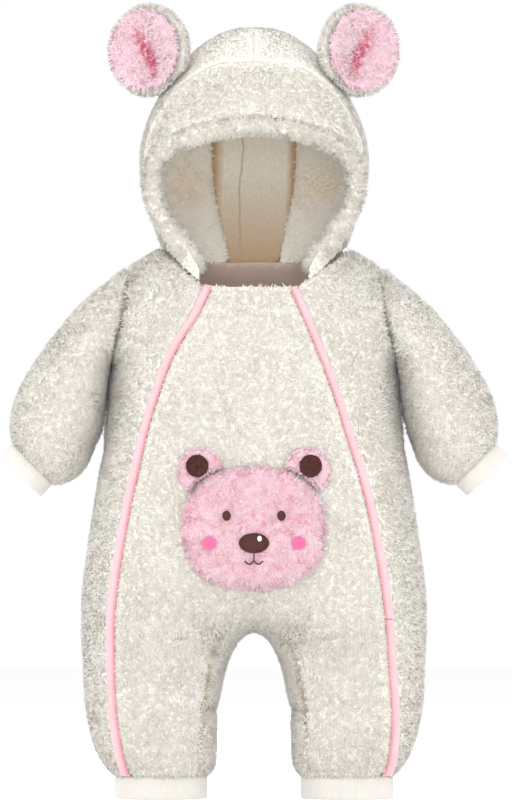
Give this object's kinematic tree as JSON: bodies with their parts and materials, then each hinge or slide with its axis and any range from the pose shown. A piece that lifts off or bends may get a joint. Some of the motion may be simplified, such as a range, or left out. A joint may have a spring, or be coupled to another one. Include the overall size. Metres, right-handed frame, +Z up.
{
  "type": "baby snowsuit",
  "caption": "Hooded plush snowsuit for a baby, with round ears on the hood, zips down both sides, rib cuffs and an animal-head patch, filled out in its worn shape.",
  "frame": {"origin": "the middle of the neck opening, at the height of the back neck seam, where the wearer's neck and shoulders hold the suit", "axes": "+Z up along the body, the front faces -Y, +X towards the wearer's left"},
  "size_m": [0.5066, 0.2361, 0.7949],
  "materials": {
    "plush": "shaggy off-white pile fleece",
    "lining": "short cream to beige plush",
    "rib": "smooth off-white rib knit",
    "pink_plush": "short pink plush",
    "binding": "satin pink binding over concealed coil zips",
    "brown_felt": "dark brown short pile"
  },
  "bodies": {
    "root": {"front_panel": "plush", "side_panel_right": "plush", "side_panel_left": "plush", "back_panel": "plush", "crotch_gusset": "plush", "sleeve_right": "plush", "sleeve_left": "plush", "zip_right": "binding", "zip_left_upper": "binding", "zip_left_lower": "binding", "neck_facing": "lining", "hood_rim": "plush", "hood_front": "plush", "hood_back_right": "plush", "hood_back_left": "plush", "hood_lining_right": "lining", "hood_lining_middle": "lining", "hood_lining_left": "lining", "ear_back_right": "plush", "ear_front_right": "pink_plush", "ear_back_left": "plush", "ear_front_left": "pink_plush", "leg_cuff_right": "rib", "leg_cuff_left": "rib", "sleeve_cuff_right": "rib", "sleeve_cuff_left": "rib", "patch_head": "pink_plush", "patch_ear_right": "pink_plush", "patch_ear_left": "pink_plush", "patch_ear_inside_right": "brown_felt", "patch_ear_inside_left": "brown_felt", "patch_nose": "brown_felt"}
  },
  "joints": []
}
